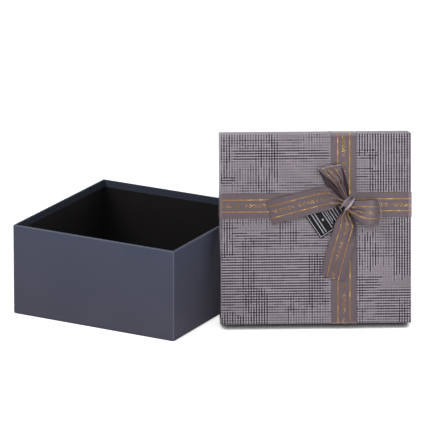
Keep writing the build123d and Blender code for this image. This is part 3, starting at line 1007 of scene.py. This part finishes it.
LEFT_TAIL = (
    ((28.8, 24.0, 6.8), (30.0, 28.0, 7.6)),
    ((23.3, 23.9, 6.3), (25.8, 30.2, 7.2)),
    ((20.4, 21.9, 5.3), (20.4, 35.2, 6.4)),
    ((16.2, 19.8, 4.0), (13.9, 40.7, 5.2)),
    ((8.0, 17.5, 3.0), (3.0, 41.0, 3.9)),
    ((-4.2, 14.5, 2.6), (-10.0, 38.1, 3.0)),
    ((-21.4, 10.1, 2.3), (-27.2, 33.9, 2.5)),
    ((-34.0, 6.8, 2.0), (-39.6, 30.7, 2.2)),
    ((-43.9, 4.2, 1.3), (-49.0, 28.4, 1.6)),
)
DOWN_TAIL = (
    ((34.0, 21.0, 6.4), (29.2, 22.0, 6.6)),
    ((33.2, 14.8, 6.0), (27.3, 17.2, 6.2)),
    ((37.0, 9.7, 4.4), (22.5, 13.4, 4.9), (0.2, 0.5, 0.72)),
    ((39.8, 2.4, 3.2), (19.3, 6.2, 3.7), (0.14, 0.42, 0.70)),
    ((39.7, -6.0, 2.7), (16.6, -2.6, 3.1), (0.21, 0.46, 0.72)),
    ((37.2, -19.4, 2.5), (12.8, -15.0, 2.7)),
    ((33.0, -35.6, 2.2), (8.4, -29.8, 2.4)),
    ((28.4, -52.4, 1.3), (5.0, -46.4, 1.7), FLAT_LANES, 1.0),
)


class GIFTBOX_OT_tie_bow(bpy.types.Operator):
    """Tie the bow: two loops, two tails and the wrapped knot"""

    bl_idname = "giftbox.tie_bow"
    bl_label = "Tie the bow"

    # Node, stations, rows of points, where a heart lies from the knot, whether the gold lines run on top of
    # the folds (1) or at their bottom (-1), how strong the painted highlight is on the outermost turn and,
    # faintly, over the whole loop, and how it is held.
    # Lengths are millimetres.
    pieces = (
        ("bow_loop_right", RIGHT_LOOP, 150, 36.0, 1, 1.25, "folded"),
        ("bow_loop_upper", UPPER_LOOP, 150, 20.0, -1, 0.7, "folded"),
        ("bow_tail_left", LEFT_TAIL, 110, 21.0, 1, 0.0, "gathered"),
        ("bow_tail_down", DOWN_TAIL, 110, 62.0, 1, 0.0, "gathered"),
    )
    ease = 0.965
    # The faint painted sheen over a whole loop
    least_painted_sheen = 0.05
    # Strength of the painted highlight on the pleats' tops
    pleat_highlight = 0.36
    knot_stations = range(-112, 113, 28)
    knot_above_hole = 1.0
    knot_turn = radians(55.0)
    knot_half_length = 6.3
    knot_half_width, knot_narrowing, knot_tuck = 5.3, 0.8, 1.0
    knot_lanes, knot_lean = (0.22, 0.56, 0.84), 0.13
    knot_rows = 80
    knot_height = 4.7
    knot_rise = 4.9
    knot_ease = 0.88
    # A painted highlight on the knot, stronger towards one side
    knot_light, knot_light_across = 0.62, 0.04
    knot_print_shift = (14.0, 3.2)
    stem_foot = 0.42
    stem_height = 4.4
    stem_radius = 2.0
    stem_print = (19.4, 5.5)

    def execute(self, context):
        ribbon = context.scene.ribbon
        width = ribbon.width / MM
        for node, table, count, heart_at, top, rim, held in self.pieces:
            rows = smooth([station(*row) for row in table], count)
            points, crossings = gather(rows, width, self.ease, top)
            # A painted highlight on each loop's outer turn, and a faint painted sheen over the rest of the
            # loop
            lighter = rim * np.maximum(loop_rim(points)[:, None], self.least_painted_sheen)
            # Painted highlights on the tops of the pleats near the knot
            lighter = np.maximum(lighter, self.pleat_highlight * pleat_ridges(points, crossings, width))
            name = node.replace("bow_", "bow_ribbon_")
            piece, cloth = ribbon_piece(name, points, crossings, -heart_at, lighter)
            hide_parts(node)
        self.knot(ribbon, width)
        return {"FINISHED"}

    def knot(self, ribbon, width):
        """The ribbon wrapped over the knot, whose printed lines lie off its middle."""
        over = np.array([cos(self.knot_turn), sin(self.knot_turn), 0])
        beside = np.array([over[1], -over[0], 0])
        hole = face.knot * [1, 1, 0]
        centre = hole + np.array([0, self.knot_above_hole, 0])
        stations = []
        for degree in self.knot_stations:
            turn = radians(degree)
            middle = centre + over * self.knot_half_length * sin(turn)
            middle = middle + np.array([0, 0, self.knot_height + self.knot_rise * cos(turn)])
            half = self.knot_half_width - self.knot_narrowing * abs(sin(turn))
            half -= self.knot_tuck * (abs(degree) > 90)
            lean = self.knot_lean * sin(turn)
            low, between, high = self.knot_lanes
            lanes = (low + lean, between, high + lean)
            stations.append([*(middle - beside * half), *(middle + beside * half), *lanes, 0.0])
        points, crossings = gather(smooth(stations, self.knot_rows), width, self.knot_ease)
        # Painted highlight on the knot, growing across it
        lighter = np.clip(self.knot_light + crossings * self.knot_light_across, 0, 1)
        shift_along, shift_across = self.knot_print_shift
        piece, cloth = ribbon_piece(
            "bow_ribbon_knot", points, crossings + shift_across, shift_along, lighter
        )
        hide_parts("bow_knot")
        self.stem(hole)

    def stem(self, centre):
        """Gathered ribbon that comes up from the crossing bands, through the tag's hole."""
        around, rings, folds, fold_depth, flare = 56, 9, 7, 0.16, 0.9
        points = []
        for share in np.linspace(0, 1, rings):
            for step in range(around):
                angle = 2 * pi * step / around
                fold = 1 + fold_depth * sin(folds * angle + 1.4 * share)
                radius = (self.stem_radius + flare * (2 * share - 1) ** 2 * (share > 0.5)) * fold
                height = self.stem_foot + self.stem_height * share
                points.append(centre + np.array([radius * cos(angle), radius * sin(angle), height]))
        faces = []
        for first in range(0, around * (rings - 1), around):
            for step in range(around):
                after = (step + 1) % around
                faces.append((first + step, first + after, first + around + after, first + around + step))
        count = len(points)
        faces.append(range(around - 1, -1, -1))
        faces.append(range(count - around, count))
        spots = [self.stem_print] * count
        piece = ribbon_mesh("bow_ribbon_stem", points, faces, spots, ribbon_materials()[1:])
        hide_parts("bow_knot")


class GIFTBOX_OT_set_up_studio(bpy.types.Operator):
    """Set up the pale floor, the soft light and the camera"""

    bl_idname = "giftbox.set_up_studio"
    bl_label = "Set up the studio"

    key_place, key_size = (-0.75, -1.25, 1.6), 0.9
    fill_place, fill_size = (0.95, -0.67, 0.55), 0.8
    floor_half = 14.0
    floor_level = -0.2 * MM
    painted_shadow_reach = 9 * MM
    sky_front = (-0.25, -0.75, 0.6)
    sky_tint = (0.96, 0.98, 1.05)

    def execute(self, context):
        studio = context.scene.studio
        context.scene.view_settings.view_transform = "Standard"
        self.floor(studio)
        self.sky(studio)
        self.lamp("key", self.key_place, self.key_size, studio.key)
        self.lamp("fill", self.fill_place, self.fill_size, studio.fill)
        self.camera(studio)
        return {"FINISHED"}

    def floor(self, studio):
        """A plane that light meets as pale card, and that the camera sees lighter where it lies open. Near
        the box, ambient occlusion darkens its colour and its glow: a painted contact shadow.
        """
        mesh = bpy.data.meshes.new("floor")
        half, level = self.floor_half, self.floor_level
        corners = [(-half, -half, level), (half, -half, level), (half, half, level), (-half, half, level)]
        mesh.from_pydata(corners, [], [(0, 1, 2, 3)])
        finish = Finish("floor_card", {"Roughness": 1.0, "Specular IOR Level": 0.0})
        near = {"Distance": self.painted_shadow_reach}
        # Painted contact shadow: ambient occlusion within this reach darkens the floor's colour and its
        # glow
        open_sky = finish.node("ShaderNodeAmbientOcclusion", {"samples": 8}, near, "AO")
        shade = (open_sky * 1.7).clamped() ** 2.6
        finish.feed(Base_Color=finish.shaded(studio.floor, shade))
        strength = finish.looked_at() * studio.glow
        glow = finish.node("ShaderNodeEmission", inputs={"Color": shade, "Strength": strength})
        card = Link(finish, finish.shader.outputs[0])
        both = finish.node("ShaderNodeAddShader", inputs={0: card, 1: glow})
        finish.tree.links.new(both.socket, finish.output.inputs["Surface"])
        mesh.materials.append(finish.material)
        show("floor", mesh)

    def sky(self, studio):
        """A white surrounding. As a light it is dimmer, and brightest from the front and above."""
        world = bpy.data.worlds.new("studio")
        world.use_nodes = True
        nodes = Nodes(world.node_tree)
        way = nodes.node("ShaderNodeTexCoord", output="Generated")
        facing = nodes.dot(way, Vector(self.sky_front).normalized())
        light = studio.sky * (0.62 + 0.5 * facing)
        direct = nodes.looked_at()
        strength = direct + light * (1 - direct)
        tint = nodes.mixed(direct, self.sky_tint, (1.0, 1.0, 1.0))
        background = nodes.node("ShaderNodeBackground", inputs={"Color": tint, "Strength": strength})
        output = nodes.tree.nodes.new("ShaderNodeOutputWorld")
        nodes.tree.links.new(background.socket, output.inputs["Surface"])
        bpy.context.scene.world = world

    def lamp(self, name, place, size, power):
        """A large square lamp that faces the box."""
        data = bpy.data.lights.new(name, "AREA")
        data.size = size
        data.energy = power
        lamp = show(name, data)
        lamp.location = place
        aim = (cad_box[0] + cad_box[1]) / 2
        lamp.rotation_euler = (aim - Vector(place)).to_track_quat("-Z", "Y").to_euler()

    def camera(self, studio):
        """The photograph's view."""
        back = camera_back()
        right = Vector((0, 0, 1)).cross(back).normalized()
        upward = back.cross(right)
        aim = right * studio.aside + upward * studio.above
        camera_x = right * cos(studio.roll) + upward * sin(studio.roll)
        camera_y = upward * cos(studio.roll) - right * sin(studio.roll)
        data = bpy.data.cameras.new("camera")
        data.lens = studio.lens
        data.sensor_width = 36.0
        data.clip_end = 50.0
        camera = show("camera", data)
        turn = Matrix((camera_x, camera_y, back)).transposed()
        camera.matrix_world = Matrix.Translation(aim + back * studio.distance) @ turn.to_4x4()
        bpy.context.scene.camera = camera


OPERATORS = (
    GIFTBOX_OT_dress_base,
    GIFTBOX_OT_dress_lid,
    GIFTBOX_OT_dress_tag,
    GIFTBOX_OT_ribbon_bands,
    GIFTBOX_OT_tie_bow,
    GIFTBOX_OT_set_up_studio,
)
SETTINGS = {
    "papers": PaperSettings,
    "lid_print": PrintSettings,
    "ribbon": RibbonSettings,
    "tag": TagSettings,
    "studio": StudioSettings,
}


class GIFTBOX_PT_panel(bpy.types.Panel):
    """Lists the gift box's steps and settings"""

    bl_idname = "GIFTBOX_PT_panel"
    bl_label = "Gift box"
    bl_space_type = "VIEW_3D"
    bl_region_type = "UI"
    bl_category = "Gift box"

    def draw(self, context):
        for operator in OPERATORS:
            self.layout.operator(operator.bl_idname)
        for name in SETTINGS:
            settings = getattr(context.scene, name)
            box = self.layout.box()
            box.label(text=name.replace("_", " ").capitalize())
            for setting in settings.__annotations__:
                box.prop(settings, setting)


def register():
    for name, settings in SETTINGS.items():
        bpy.utils.register_class(settings)
        setattr(bpy.types.Scene, name, PointerProperty(type=settings))
    for piece in (*OPERATORS, GIFTBOX_PT_panel):
        bpy.utils.register_class(piece)


def unregister():
    for piece in reversed((*OPERATORS, GIFTBOX_PT_panel)):
        bpy.utils.unregister_class(piece)
    for name, settings in SETTINGS.items():
        delattr(bpy.types.Scene, name)
        bpy.utils.unregister_class(settings)


def main():
    register()
    for operator in OPERATORS:
        group, name = operator.bl_idname.split(".")
        getattr(getattr(bpy.ops, group), name)()


if __name__ == "__main__":
    main()
